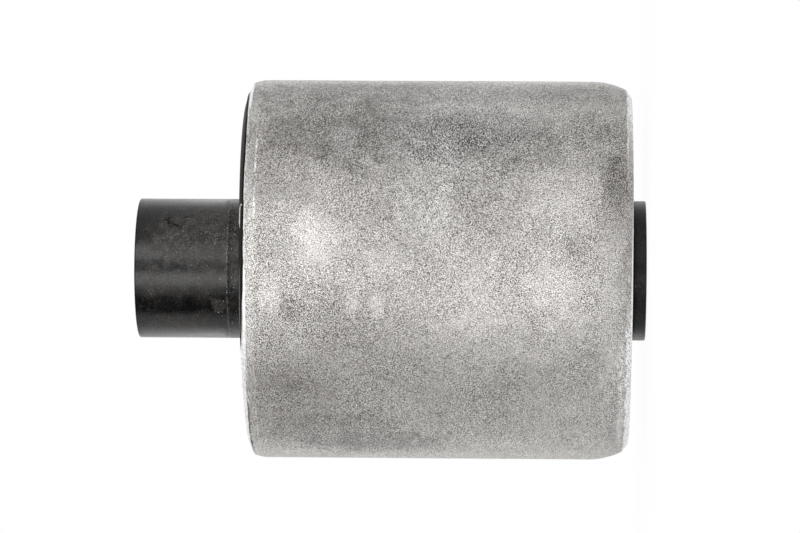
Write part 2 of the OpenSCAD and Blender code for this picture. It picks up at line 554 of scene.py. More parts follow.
def sleeve_steel(settings):
    """Bare drawn steel: a streaky blasted grain, slow mottling, stains, scratches and bright turned edges,
    with painted shade round its sides and painted highlight and shadow lines along its edges.
    """
    material, shader, start = start_material("bare_steel", {"Specular IOR Level": 0.5})
    where = start.add("ShaderNodeTexCoord", output="Object")
    place = where.add("ShaderNodeSeparateXYZ", None, {0: where})
    across, height = place.other("X"), place.other("Z")
    flat = unrolled(where, SLEEVE_R, WALL_MIDDLE_Z)
    round_it = flat.add("ShaderNodeSeparateXYZ", None, {0: flat}, output="X")
    wander = (noise(where, *STEEL_WANDER) - 0.5) * 1.5

    def spread(places, edge=wander):
        """The patches of a list, on the sleeve."""
        return patches(flat, edge, places, SLEEVE_R)

    # The grain: strokes that lean one way or the other, over fine noise
    coarse = noise(where, *STEEL_COARSE)
    blotches = noise(where, *STEEL_BLOTCHES)
    mottling = noise(where, *STEEL_MOTTLING)
    fine = noise(where, *STEEL_FINE)
    swing = step(noise(where, *STEEL_SWING), 0.34, 0.50)
    crossing = strokes(flat, CROSSING_GRAIN)
    grain = crossing + (strokes(flat, LEANING_GRAIN) - crossing) * swing
    grain = grain + (strokes(flat, DRAWN_GRAIN) - grain) * limited(spread(SLEEVE_DRAWN))

    # Dark places have more pits in their grain, light ones are smoother. Lightness mixes random mottling with
    # the painted shade of the listed patches
    tone_and_shade = spread(SLEEVE_TONES_AND_SHADE) + (mottling - 0.5) * 0.28
    tone_and_shade = tone_and_shade + (blotches - 0.5) * 0.20 + (coarse - 0.5) * 0.25
    pitted = limited(0.35 + tone_and_shade * 0.95 + (grain - 0.5) * 6.5 + (fine - 0.5) * 1.6)
    smoothed = step(tone_and_shade, -0.10, 0.20)
    pitted = pitted + (0.45 - pitted) * smoothed * 0.22
    # Painted shading of the grain: its colour contrast grows away from the front
    grain_shade = step(abs(round_it), GRAIN_SHADE_FROM, GRAIN_SHADE_FULL)
    colour = blend(pitted, opaque(settings.dark_steel), opaque(settings.light_steel))
    colour = scaled(colour, 1.0 + tone_and_shade * 0.55 + (pitted - 0.50) * grain_shade * 0.30)

    stained = spread(SLEEVE_STAINS) * step(mottling * 0.5 + coarse * 0.5, 0.38, 0.62)
    colour = blend(stained * 0.55, colour, opaque(settings.stain))
    steep = step(strokes(flat, STEEP_SCRATCHES), 0.60, 0.65)
    upright = step(strokes(flat, UPRIGHT_SCRATCHES), 0.63, 0.68)
    scratches = larger(steep, upright) * spread(SLEEVE_SCRATCHED)
    colour = blend(limited(scratches * 0.75), colour, opaque(settings.turned_steel))

    # The rim: its chamfer, the rubbed band, partly a painted highlight, and a painted highlight line where
    # the lead-in starts
    ragged = (coarse - 0.5) * 0.25 * MM
    turned = step(strokes(flat, TURNING_MARKS), 0.35, 0.65)
    over_rim_edge = height - across * math.tan(settings.rim_lean) - (RIM_Z - settings.rim_chamfer_len)
    rim_band = step(over_rim_edge + ragged, -0.05 * MM, 0.05 * MM) * (0.4 + turned * 0.4)
    # Turning marks all round, and in the listed stretches a painted highlight below the rim's edge
    rubbed = limited(spread(RIM_RUBBED_AND_HIGHLIT, wander * 0.5) + turned * 0.28)
    rubbed = rubbed * edge_band(over_rim_edge, ragged, RUBBED_AND_HIGHLIT_BAND)
    lead_highlight = edge_band(height - LEAD_START_Z, ragged, LEAD_HIGHLIGHT_BAND)
    lead_highlight = lead_highlight * step(coarse, 0.40, 0.56) * (0.15 + spread(LEAD_HIGHLIT))
    lead_in = step(height, LEAD_START_Z - 0.1 * MM, LEAD_START_Z + 0.5 * MM) * turned * 0.20

    # The nose: a flaked bright band up to its edge, and painted highlight lines on its edge and at its end
    over_nose_end = height + across * math.tan(settings.nose_lean) - NOSE_Z
    over_nose_edge = over_nose_end - settings.nose_chamfer_len
    flakes = step(noise(where, *STEEL_FLAKES), 0.42, 0.56)
    nose_band = step(over_nose_edge + ragged * 5.0, *NOSE_FADE) * (0.3 + flakes * 0.95)
    nose_band = nose_band * (1.0 - limited(spread(NOSE_DULLED)))
    nose_highlight = edge_band(over_nose_edge, ragged, NOSE_HIGHLIGHT_BAND) * spread(NOSE_EDGE_HIGHLIT) * flakes
    end_highlight = step(over_nose_end, *NOSE_END_HIGHLIGHT_FADE) * spread(NOSE_END_HIGHLIT)
    flaked = spread(NOSE_FLAKED) * flakes

    bright = rim_band + lead_in + rubbed + lead_highlight
    bright = limited(bright + nose_band + nose_highlight + end_highlight + flaked)
    edge_colour = blend(bright, opaque(settings.turned_steel), opaque(settings.burnished))
    colour = blend(bright, colour, scaled(edge_colour, 0.92 + pitted * 0.08))
    # A painted shadow line just below the rim's chamfer
    burr_shadow = edge_band(over_rim_edge, ragged * 4.5, BURR_SHADOW_BAND) * spread(RIM_BURR_SHADOWED)
    colour = blend(limited(burr_shadow), colour, opaque(settings.dark_steel))

    relief = (grain * 0.8 + fine * 0.3) * (1.0 - bright * 0.8) * (1.3 - smoothed * 0.65) + coarse * 0.3
    feed(shader, {
        "Base Color": colour,
        "Metallic": 0.86 - stained * 0.35,
        "Roughness": 0.47 + (fine - 0.5) * 0.2 + (mottling - 0.5) * 0.16 - bright * 0.14 - scratches * 0.12,
        "Normal": bump(relief, STEEL_RELIEF, 1.0),
    })
    return material


# Noises of the rubber: cells in a metre, detail, roughness and distortion
RUBBER_CLOUDS = (140, 4.0, 0.6, 0.4)
RUBBER_GRAIN = (2600, 2.0, 0.55)
RUBBER_PITS = (900, 1.0)
RUBBER_RELIEF = 30 * MICRON


def moulded_rubber(settings, name, gloss):
    """Black moulded rubber, with a dull bloom and a faint moulded grain."""
    material, shader, start = start_material(name, {"Specular IOR Level": gloss})
    where = start.add("ShaderNodeTexCoord", output="Object")
    cloud = noise(where, *RUBBER_CLOUDS)
    grain = noise(where, *RUBBER_GRAIN)
    pits = step(noise(where, *RUBBER_PITS), 0.30, 0.22)
    bloom = step(cloud, 0.44, 0.72) * 0.6 + (grain - 0.5) * 0.2
    feed(shader, {
        "Base Color": blend(bloom, opaque(settings.black), opaque(settings.bloom)),
        "Roughness": 0.46 + (cloud - 0.5) * 0.3 + (grain - 0.5) * 0.15,
        "Normal": bump(grain * 0.4 + cloud * 0.5 - pits * 0.3, RUBBER_RELIEF, 0.4),
    })
    return material


# Rubbed dark marks on the inner sleeve, in the form of the sleeve's patches
TUBE_MARKS = (
    (44.0, 81.7, 0.50, 0.55, 0.8),
    (40.4, 81.1, 0.55, 0.60, 1.0),
    (38.4, 80.4, 0.40, 0.65, 0.9),
    (36.0, 79.8, 0.38, 0.60, 0.8),
    (34.4, 79.3, 0.45, 0.50, 0.9),
    (47.8, 78.4, 0.45, 0.60, 0.6),
    (44.9, 79.0, 0.35, 0.45, 0.5),
    (17.5, 79.2, 0.30, 0.40, 0.6),
    (-140, 78, 1.2, 2.0, 0.8),
)
# Where dust lies on the inner sleeve, in the same form
TUBE_DUSTED = (
    (22, 81, 4.0, 3.0, 1.0),
    (30, 76, 5.0, 5.0, 0.7),
    (12, 75, 5.0, 5.0, 0.5),
    (38, 72, 5.0, 4.0, 0.8),
    (0, 84.6, 7.0, 2.0, 0.45),
    (42, 78, 5.0, 7.0, 0.35),
    (-12, 78, 3.0, 7.0, 0.35),
    (-54, 79, 3.5, 8.0, 0.55),
    (-33, 72.7, 1.7, 1.2, 1.5),
    (-13, 1.1, 2.6, 1.0, 1.1),
    (-38, 1.2, 1.6, 0.8, 0.8),
    (30, 1.3, 2.4, 0.9, 0.5),
    (170, 76, 8.0, 6.0, 0.7),
)
# Noises of the coat: cells in a metre, detail, roughness and distortion
COAT_GRAIN = (5200, 1.0)
COAT_CLOUDS = (210, 4.0, 0.6, 0.5)
COAT_WANDER = (650, 3.0, 0.65)
COAT_TORN = (2400, 2.0)
COAT_DOTS = (1700, 1.0)
COAT_PITS = (1500, 1.0)
COAT_WEAR = (800, 4.0, 0.6)
COAT_MOTTLING = (3300, 3.0, 0.6)
COAT_SPECKS = (5600, 0.0)
# Hair lines in the dust: degrees from the way round, length and width in mm
COAT_HAIRS = (35, 2.2, 0.1)
COAT_RELIEF = 22 * MICRON
# Half widths at which the witness ring ends and is full
WITNESS_BAND = (0.16 * MM, 0.06 * MM)
# Half the height over which the zone beside the rubber fades out at the witness ring
WITNESS_BLUR = 0.3 * MM
# Heights at which the short end's zone ends and is full; that zone gets painted shade, more dust film and
# more roughness
FOOT_FADE = (6 * MM, 4 * MM)
# Heights at which the painted shade in the corner under the nose starts and is full
CORNER_SHADE_FADE = (1.5 * MM, 2.3 * MM)
# How far below the long end's chamfer its dark edge starts, and how thin its top is
EDGE_REACH = 0.15 * MM
EDGE_TOP = 0.04 * MM


def black_coat(settings):
    """A thin satin black coating, smudged and dusty, rougher between the rubber and the witness ring."""
    material, shader, start = start_material("black_coat", {"Specular IOR Level": 0.33})
    where = start.add("ShaderNodeTexCoord", output="Object")
    height = where.add("ShaderNodeSeparateXYZ", None, {0: where}, output="Z")
    flat = unrolled(where, TUBE_R, WALL_MIDDLE_Z)
    grain = noise(where, *COAT_GRAIN)
    cloud = noise(where, *COAT_CLOUDS)
    dotted = step(noise(where, *COAT_DOTS), 0.44, 0.60)
    wander = (noise(where, *COAT_WANDER) - 0.5) * 2.2
    torn = (noise(where, *COAT_TORN) - 0.5) * 1.8

    # Zones: beside the rubber, on the witness ring, at the short end and on the edge of the long end
    witness_z = RIM_Z + settings.witness_height
    edge_z = TUBE_TOP_Z - settings.edge_chamfer
    near_rubber = step(height, witness_z + WITNESS_BLUR, witness_z - WITNESS_BLUR)
    near_rubber = near_rubber * step(height, RIM_Z - MM, RIM_Z)
    witness = step(abs(height - witness_z), *WITNESS_BAND) * dotted
    at_foot = step(height, *FOOT_FADE)
    corner_shade = at_foot * step(height, *CORNER_SHADE_FADE)
    at_edge = step(height, edge_z - EDGE_REACH, edge_z) * step(height, TUBE_TOP_Z, TUBE_TOP_Z - EDGE_TOP)

    # Places that reflect little: rubbed marks, pits, a fine mottling and the long end's dark edge, and
    # painted shade at the short end and in the corner under the nose
    marks = step(patches(flat, wander * 0.4 + torn, TUBE_MARKS, TUBE_R), 0.25, 0.85)
    marks = marks * (0.35 + dotted * 0.5)
    pits = step(noise(where, *COAT_PITS), 0.60, 0.70) * near_rubber
    mottled = limited(noise(where, *COAT_MOTTLING) * 3.2 - 1.4)
    # Painted shade: the short end and the corner under the nose are made to reflect little
    shaded = marks + pits * 0.6 + at_foot * 0.15 + corner_shade * 0.6 + at_edge * 0.7 + mottled * 0.55
    shaded = limited(shaded, 0.95)

    # Dust, partly worn off, with hair lines and larger specks
    dusted = patches(flat, wander, TUBE_DUSTED, TUBE_R)
    worn_off = step(noise(where, *COAT_WEAR), 0.38, 0.60)
    laid = (0.05 + dusted * 0.75 + near_rubber * 0.3 + step(cloud, 0.45, 0.70) * 0.15) * worn_off
    hairs = step(strokes(flat, COAT_HAIRS), 0.70, 0.78) * limited(dusted) * 0.25
    dust = limited(step(grain, 0.40, 0.66) * laid + witness * 0.45 + hairs)
    film = limited(dusted) * (0.20 + at_foot * 0.35) * step(cloud, 0.30, 0.60)
    specks = step(noise(where, *COAT_SPECKS), 0.70, 0.78)
    specks = specks * (0.08 + dusted * 0.3 + near_rubber * 0.4) + witness * 0.2
    smudged = limited(step(cloud, 0.42, 0.70) * 0.5 + dusted * 0.2 + near_rubber * 0.2)

    colour = blend(smudged, opaque(settings.coat), opaque(settings.smudge))
    colour = blend(limited(dust + film) * (1.0 - shaded), colour, opaque(settings.dust))
    colour = blend(limited(specks, 0.8), colour, opaque(settings.speck))
    dull = 0.22 + (cloud - 0.5) * 0.3 + dusted * 0.12 + near_rubber * 0.12 + (grain - 0.5) * 0.4
    feed(shader, {
        "Base Color": colour,
        "Metallic": shaded,
        "Roughness": dull + at_foot * 0.08,
        "Normal": bump(grain * 0.5 + cloud * 0.4 + specks * 0.6 - marks * 0.3, COAT_RELIEF, 0.6),
    })
    return material


# Noise of the flash: cells in a metre and detail
FLASH_DUST = (2200, 2.0)


def flash_rubber(name, dark, pale):
    """The dusty rubber of the thin flash that the mould leaves behind."""
    material, shader, start = start_material(name, {"Specular IOR Level": 0.5})
    where = start.add("ShaderNodeTexCoord", output="Object")
    dusty = noise(where, *FLASH_DUST)
    feed(shader, {
        "Base Color": blend(step(dusty, 0.22, 0.50), opaque(dark), opaque(pale)),
        "Roughness": 0.40 + dusty * 0.25,
    })
    return material


# Half sections, as (radius, height) points

# Rounding where the lead-in starts, and of the nose's two edges as multiples of the edge rounding
LEAD_ROUND = 0.6 * MM
NOSE_END_ROUND = 2
NOSE_EDGE_ROUND = 6
# Longest stretch of each section
SLEEVE_STRETCH = 0.9 * MM
RUBBER_STRETCH = 1.2 * MM
TUBE_STRETCH = 1.0 * MM
# Half width of the witness ring, as a multiple of how far it stands out
RIDGE_SPREAD = 3


def arc(centre, radius, first_deg, last_deg, count):
    """Points along an arc, both ends included."""
    turns = [math.radians(first_deg + (last_deg - first_deg) * i / count) for i in range(count + 1)]
    return [(centre[0] + radius * math.cos(t), centre[1] + radius * math.sin(t)) for t in turns]


def rounded(corners, count=4):
    """A closed outline from (radius, height, rounding) corners, each rounded by a tangent arc."""
    outline = []
    for index, (r, z, rounding) in enumerate(corners):
        corner = Vector((r, z))
        if rounding == 0.0:
            outline.append((r, z))
            continue
        back = (Vector(corners[index - 1][:2]) - corner).normalized()
        ahead = (Vector(corners[(index + 1) % len(corners)][:2]) - corner).normalized()
        half = back.angle(ahead) / 2
        middle = corner + (back + ahead).normalized() * rounding / math.sin(half)
        first = corner + back * rounding / math.tan(half) - middle
        last = corner + ahead * rounding / math.tan(half) - middle
        for i in range(count + 1):
            spoke = first.lerp(last, i / count).normalized() * rounding
            outline.append(tuple(middle + spoke))
    return outline


def divided(outline, longest):
    """The same closed outline, with no stretch longer than that."""
    points = []
    for index, start in enumerate(outline):
        stop = outline[(index + 1) % len(outline)]
        count = max(1, math.ceil(math.dist(start, stop) / longest))
        for i in range(count):
            points.append(tuple(a + (b - a) * i / count for a, b in zip(start, stop)))
    return points


def sharp(points):
    """Points as corners with no rounding."""
    return [(r, z, 0.0) for r, z in points]


def nose_arc_radius(settings):
    """Radius of the rolled nose, which leaves the straight wall without a break."""
    return (NOSE_LEN ** 2 + settings.nose_drop ** 2) / (2 * settings.nose_drop)


def nose_arc(settings, wall_r, from_height, count=14):
    """Points of the rolled nose on a wall of that radius, from a height over the nose's end upwards."""
    radius = nose_arc_radius(settings)
    first_deg = math.degrees(math.asin((from_height - NOSE_LEN) / radius))
    return arc((wall_r - radius, NOSE_Z + NOSE_LEN), radius, first_deg, 0.0, count)


def sleeve_section(settings):
    """Half section of the outer sleeve, from the nose's inner edge round the outside and back inside."""
    edge = settings.edge_round
    chamfer_r = SLEEVE_R - settings.nose_drop - settings.nose_chamfer_depth
    edge_r = SLEEVE_R - settings.lead_depth
    outer_nose = nose_arc(settings, SLEEVE_R, settings.nose_chamfer_len)
    inner_nose = nose_arc(settings, CAVITY_R, 0.0)
    corners = [
        (*inner_nose[0], edge),
        (chamfer_r, NOSE_Z, NOSE_END_ROUND * edge),
        (*outer_nose[0], NOSE_EDGE_ROUND * edge),
    ]
    corners += sharp(outer_nose[1:])
    corners += [
        (SLEEVE_R, LEAD_START_Z, LEAD_ROUND),
        (edge_r, RIM_Z - settings.rim_chamfer_len, edge),
        (edge_r - settings.rim_chamfer_depth, RIM_Z, edge),
        (CAVITY_R, RIM_Z, edge),
    ]
    corners += sharp(reversed(inner_nose[1:]))
    return divided(rounded(corners), SLEEVE_STRETCH)


def groove(inner_r, outer_r, depth, face_z, side, count=22):
    """Points of a round groove from its inner to its outer edge. Side is 1 for a groove that goes up."""
    half = (outer_r - inner_r) / 2
    radius = (half ** 2 + depth ** 2) / (2 * depth)
    reach = math.degrees(math.asin(half / radius))
    if depth > radius:
        reach = 180.0 - reach
    centre = ((inner_r + outer_r) / 2, face_z + side * (depth - radius))
    return arc(centre, radius, side * (90.0 + reach), side * (90.0 - reach), count)


def rubber_section(rubber, sleeve):
    """Half section of the rubber, from the nose face round the outside, over the rim face and down."""
    inner_r = TUBE_R + rubber.bond_film
    collar_r = inner_r + rubber.collar_land
    face_z = RIM_Z + rubber.face_proud
    wall = nose_arc(sleeve, CAVITY_R, NOSE_FACE_Z - NOSE_Z)
    nose_groove = groove(
        collar_r, CAVITY_R - sleeve.nose_drop - rubber.rim_land, rubber.groove_depth, NOSE_FACE_Z, 1)
    rim_groove = groove(collar_r, CAVITY_R - rubber.rim_land, rubber.groove_depth, face_z, -1)
    soft = rubber.lip_round / 2
    corners = [(inner_r, NOSE_FACE_Z, 0.0), (*nose_groove[0], soft)]
    corners += sharp(nose_groove[1:-1]) + [(*nose_groove[-1], soft)]
    corners += sharp(wall) + [(CAVITY_R, face_z, rubber.lip_round), (*rim_groove[-1], soft)]
    corners += sharp(reversed(rim_groove[1:-1])) + [(*rim_groove[0], soft), (inner_r, face_z, 0.0)]
    return divided(rounded(corners, 6), RUBBER_STRETCH)


def tube_section(settings):
    """Half section of the inner sleeve, with the mould's witness ring on its long end."""
    edge = settings.edge_chamfer
    mouth = settings.bore_chamfer
    soft = edge / 4
    witness_z = RIM_Z + settings.witness_height
    half_ridge = RIDGE_SPREAD * settings.witness_ridge
    corners = [
        (BORE_R + mouth, 0.0, soft),
        (TUBE_R - edge, 0.0, soft),
        (TUBE_R, edge, soft),
        (TUBE_R, witness_z - half_ridge, 0.0),
        (TUBE_R + settings.witness_ridge, witness_z, 0.0),
        (TUBE_R, witness_z + half_ridge, 0.0),
        (TUBE_R, TUBE_TOP_Z - edge, soft),
        (TUBE_R - edge, TUBE_TOP_Z, soft),
        (BORE_R + mouth, TUBE_TOP_Z, soft),
        (BORE_R, TUBE_TOP_Z - mouth, soft),
        (BORE_R, mouth, soft),
    ]
    return divided(rounded(corners), TUBE_STRETCH)


# The rubber skin on the rim

def smooth_share(value, low, high):
    """0 below low, 1 above high and smooth between, for plain numbers."""
    share = min(1.0, max(0.0, (value - low) / (high - low)))
    return share * share * (3.0 - 2.0 * share)


# Where the skin starts and ends round the rim, in degrees, and how far its ends thin out
SKIN_FROM, SKIN_TO = -36.0, 216.0
SKIN_FADE = 26.0
# Share of the rim's chamfer that the skin covers at least, and what it covers more where it is widest
SKIN_LEAST = 0.10
SKIN_MORE = 0.80
# Degrees from the front, towards +X, between which the skin grows to its widest
SKIN_GROWS = (-34, 0)
# Degrees between which it grows narrower again, and the share that it loses there
SKIN_LOSSES = ((42, 60, 0.45), (64, 78, 0.55))
# Waves of its torn edge: count round the rim, start and size
SKIN_WAVES = ((7, 1, 0.05), (19, 2, 0.04), (43, 0, 0.03))
# Share of the way over the rim on which the skin's edge thins out
SKIN_EDGE = 0.14
# Shares of the skin's thickness: what is left at its edge, and how deep its ends dive into the rim
SKIN_EDGE_LIFT = 0.1
SKIN_DIVE = 0.2


def skin_reach(turn_deg):
    """Share of the rim's chamfer that the rubber skin covers there, alike on the front and on the back."""
    front_deg = min(turn_deg, 180.0 - turn_deg)
    kept_share = 1.0
    for first_deg, last_deg, lost_share in SKIN_LOSSES:
        kept_share -= lost_share * smooth_share(front_deg, first_deg, last_deg)
    high = smooth_share(front_deg, *SKIN_GROWS) * kept_share
    turn = math.radians(turn_deg)
    ragged = sum(size * math.sin(count * turn + start) for count, start, size in SKIN_WAVES)
    return SKIN_LEAST + SKIN_MORE * high + ragged


def rim_spot(sleeve, turn_deg, share, lift):
    """A point over the rim. Share 0 is its inner edge, 1 where its chamfer starts and 2 where that ends."""
    edge_r = SLEEVE_R - sleeve.lead_depth - sleeve.rim_chamfer_depth
    slope = Vector((sleeve.rim_chamfer_depth, -sleeve.rim_chamfer_len))
    if share < 1.0:
        spot = Vector((CAVITY_R + (edge_r - CAVITY_R) * share, RIM_Z + lift))
    else:
        outward = Vector((sleeve.rim_chamfer_len, sleeve.rim_chamfer_depth)).normalized()
        spot = Vector((edge_r, RIM_Z)) + slope * (share - 1.0) + outward * lift
    turn = math.radians(turn_deg)
    x = math.sin(turn) * spot.x
    return (x, -math.cos(turn) * spot.x, spot.y + x * math.tan(sleeve.rim_lean))


def skin_mesh(rubber, sleeve, steps=336, across=9):
    """Points and faces of the thin rubber skin that laps over the rim. Its ends dive into the rim."""
    points, faces = [], []
    for i in range(steps + 1):
        turn_deg = SKIN_FROM + (SKIN_TO - SKIN_FROM) * i / steps
        full = smooth_share(min(turn_deg - SKIN_FROM, SKIN_TO - turn_deg), 0.0, SKIN_FADE)
        last = 1.0 + skin_reach(turn_deg)
        shares = [last * j / across for j in range(across + 1)]
        for share in shares:
            edge = 1.0 - smooth_share(share, last - SKIN_EDGE, last)
            lift = (SKIN_EDGE_LIFT + (1.0 - SKIN_EDGE_LIFT) * edge) * full - SKIN_DIVE * (1.0 - full)
            points.append(rim_spot(sleeve, turn_deg, share, rubber.skin_thickness * lift))
        for share in reversed(shares):
            points.append(rim_spot(sleeve, turn_deg, share, -rubber.skin_thickness / 2))
    ring = 2 * (across + 1)
    for i in range(steps):
        here, there = i * ring, (i + 1) * ring
        for j in range(ring):
            k = (j + 1) % ring
            faces.append((here + j, here + k, there + k, there + j))
    faces += [tuple(range(ring)), tuple(range(steps * ring, (steps + 1) * ring))]
    return points, faces


# Geometry Nodes

def start_tree(name, inputs):
    """A geometry tree with named inputs. Returns it and the wire of the geometry that comes in."""
    tree = bpy.data.node_groups.new(name, "GeometryNodeTree")
    tree.interface.new_socket("Geometry", in_out="INPUT", socket_type="NodeSocketGeometry")
    for label, kind in inputs.items():
        tree.interface.new_socket(label, in_out="INPUT", socket_type=kind)
    tree.interface.new_socket("Geometry", in_out="OUTPUT", socket_type="NodeSocketGeometry")
    return tree, Wire(tree).add("NodeGroupInput", output="Geometry")


def end_tree(geometry, material):
    """Make instances real, set the material and hand the geometry out."""
    real = geometry.add("GeometryNodeRealizeInstances", None, {"Geometry": geometry})
    painted = real.add("GeometryNodeSetMaterial", None, {"Geometry": real, "Material": material})
    painted.add("NodeGroupOutput", None, {"Geometry": painted})


def lathe_tree():
    """Turn a half section in the XZ plane into a round body, let its wall wander, and lean its top."""
    tree, section = start_tree("lathe", {
        "Path radius": "NodeSocketFloat", "Steps": "NodeSocketInt", "Waviness": "NodeSocketFloat",
        "Wave scale": "NodeSocketFloat", "Lean": "NodeSocketFloat", "Lean from": "NodeSocketFloat",
        "Lean to": "NodeSocketFloat", "Foot lean": "NodeSocketFloat", "Foot lean from": "NodeSocketFloat",
        "Foot lean to": "NodeSocketFloat", "Material": "NodeSocketMaterial"})
    path_r = section.other("Path radius")
    shift = section.add("ShaderNodeCombineXYZ", None, {"X": path_r * -1.0})
    laid = section.add("GeometryNodeTransform", None, {
        "Geometry": section, "Translation": shift, "Rotation": (math.pi / 2, 0.0, 0.0)})
    profile = laid.add("GeometryNodeMeshToCurve", None, {"Mesh": laid})
    path = section.add("GeometryNodeCurvePrimitiveCircle", None, {
        "Resolution": section.other("Steps"), "Radius": path_r})
    body = path.add("GeometryNodeCurveToMesh", None, {"Curve": path, "Profile Curve": profile})

    place = body.add("GeometryNodeInputPosition")
    normal = body.add("GeometryNodeInputNormal")
    wave = noise(place, section.other("Wave scale"), 2.0) * 2.0 - 1.0
    push = scaled(normal, wave * section.other("Waviness"))
    wavy = body.add("GeometryNodeSetPosition", None, {"Geometry": body, "Offset": push})

    split = place.add("ShaderNodeSeparateXYZ", None, {0: place})
    high = split.other("Z")
    top = section.other("Lean") * step(high, section.other("Lean from"), section.other("Lean to"))
    foot = section.other("Foot lean") * step(
        high, section.other("Foot lean from"), section.other("Foot lean to"))
    rise = split.other("X") * (top + foot)
    lift = rise.add("ShaderNodeCombineXYZ", None, {"Z": rise})
    leaning = wavy.add("GeometryNodeSetPosition", None, {"Geometry": wavy, "Offset": lift})
    smooth = leaning.add("GeometryNodeSetShadeSmooth", None, {0: leaning})
    end_tree(smooth, section.other("Material"))
    return tree


# Smallest and largest stretch of a crumb of flash, in its own three directions
CRUMB_LEAST = (0.5, 0.5, 0.5)
CRUMB_MOST = (1.0, 1.4, 1.0)
# Share of the largest crumb's size that the smallest has
CRUMB_SMALLEST = 0.25
# Points on the ring that carries the crumbs
RING_POINTS = 256
# Thickness of a bead at its ends as a share of its middle, and the shares of its length where it tapers
BEAD_THIN = 0.15
BEAD_TAPERS = ((0.0, 0.2), (1.0, 0.92))
# Points round a bead
BEAD_SIDES = 10
# Least and most turn of a crumb about each axis, in radians
NO_TURN = (0.0, 0.0, 0.0)
FULL_TURN = (6.28, 6.28, 6.28)


def random_number(seed, low, high):
    """A random number for each point."""
    return seed.add("FunctionNodeRandomValue", {"data_type": "FLOAT"}, {
        2: low, 3: high, "Seed": seed}, output=1)


def random_vector(seed, low, high):
    """A random vector for each point."""
    return seed.add("FunctionNodeRandomValue", {"data_type": "FLOAT_VECTOR"}, {
        0: low, 1: high, "Seed": seed}, output=0)


def crumbs_tree():
    """Scatter small lumps of flash along a ring, each with its own size and turn."""
    tree, start = start_tree("flash_crumbs", {
        "Ring radius": "NodeSocketFloat", "Ring height": "NodeSocketFloat", "Count": "NodeSocketInt",
        "Spread": "NodeSocketFloat", "Size": "NodeSocketFloat", "Seed": "NodeSocketInt",
        "Material": "NodeSocketMaterial"})
    seed = start.other("Seed")
    ring = start.add("GeometryNodeCurvePrimitiveCircle", None, {
        "Resolution": RING_POINTS, "Radius": start.other("Ring radius")})
    points = ring.add("GeometryNodeCurveToPoints", None, {
        "Curve": ring, "Count": start.other("Count")}, output="Points")

    share = random_number(seed + 0, 0.0, 1.0)
    side = random_number(seed + 1, -1.0, 1.0)
    up = side * abs(side) * start.other("Spread") + start.other("Ring height")
    lift = up.add("ShaderNodeCombineXYZ", None, {"Z": up})
    kept = points.add("GeometryNodeSetPosition", None, {"Geometry": points, "Offset": lift})
    lump = start.add("GeometryNodeMeshIcoSphere", None, {"Radius": 1.0, "Subdivisions": 2})
    turn = random_vector(seed + 2, NO_TURN, FULL_TURN)
    stretch = random_vector(seed + 3, CRUMB_LEAST, CRUMB_MOST)
    grown = CRUMB_SMALLEST + share * share * (1.0 - CRUMB_SMALLEST)
    size = scaled(stretch, grown * start.other("Size"))
    lumps = kept.add("GeometryNodeInstanceOnPoints", None, {
        "Points": kept, "Instance": lump, "Rotation": turn, "Scale": size})
    end_tree(lumps, start.other("Material"))
    return tree


def bead_tree():
    """A bead that follows a line of points, thin at both ends and lumpy between."""
    tree, line = start_tree("flash_bead", {
        "Radius": "NodeSocketFloat", "Step": "NodeSocketFloat", "Lumps": "NodeSocketFloat",
        "Material": "NodeSocketMaterial"})
    curve = line.add("GeometryNodeMeshToCurve", None, {"Mesh": line})
    even = curve.add("GeometryNodeResampleCurve", {"mode": "LENGTH"}, {
        "Curve": curve, "Length": line.other("Step")})
    share = even.add("GeometryNodeSplineParameter", output="Factor")
    place = even.add("GeometryNodeInputPosition")
    lumpy = 0.6 + noise(place, line.other("Lumps"), 1.0) * 0.8
    first_taper, last_taper = BEAD_TAPERS
    taper = step(share, *first_taper) * step(share, *last_taper) * lumpy
    profile = line.add("GeometryNodeCurvePrimitiveCircle", None, {
        "Resolution": BEAD_SIDES, "Radius": line.other("Radius")})
    bead = even.add("GeometryNodeCurveToMesh", None, {
        "Curve": even, "Profile Curve": profile, "Scale": BEAD_THIN + taper * (1.0 - BEAD_THIN),
        "Fill Caps": True})
    smooth = bead.add("GeometryNodeSetShadeSmooth", None, {0: bead})
    end_tree(smooth, line.other("Material"))
    return tree


def mesh_object(name, points, edges=(), faces=()):
    """A linked mesh object from plain lists."""
    mesh = bpy.data.meshes.new(name)
    mesh.from_pydata(points, edges, faces)
    piece = bpy.data.objects.new(name, mesh)
    bpy.context.scene.collection.objects.link(piece)
    return piece


def run_tree(piece, tree, values):
    """Evaluate a geometry tree on a piece, keep the result as its plain mesh and drop the modifier."""
    modifier = piece.modifiers.new(tree.name, "NODES")
    modifier.node_group = tree
    for item in tree.interface.items_tree:
        if item.in_out == "INPUT" and item.name in values:
            modifier[item.identifier] = values[item.name]
    evaluated = piece.evaluated_get(bpy.context.evaluated_depsgraph_get())
    mesh = bpy.data.meshes.new_from_object(evaluated)
    blank = piece.data
    piece.modifiers.clear()
    piece.data = mesh
    bpy.data.meshes.remove(blank)
    mesh.name = piece.name
    face_outwards(mesh)
    return piece


def face_outwards(mesh):
    """Point every face of a closed mesh outwards."""
    work = bmesh.new()
    work.from_mesh(mesh)
    bmesh.ops.recalc_face_normals(work, faces=work.faces)
    work.to_mesh(mesh)
    work.free()


def turned_piece(name, section, values):
    """A round piece from its half section."""
    count = len(section)
    edges = [(i, (i + 1) % count) for i in range(count)]
    piece = mesh_object(name, [(r, 0.0, z) for r, z in section], edges)
    tree = bpy.data.node_groups.get("lathe") or lathe_tree()
    defaults = {"Waviness": 0.0, "Wave scale": 60.0, "Lean": 0.0, "Lean from": 0.0, "Lean to": 1.0,
                "Foot lean": 0.0, "Foot lean from": 1.0, "Foot lean to": 0.0}
    return run_tree(piece, tree, {**defaults, **values})


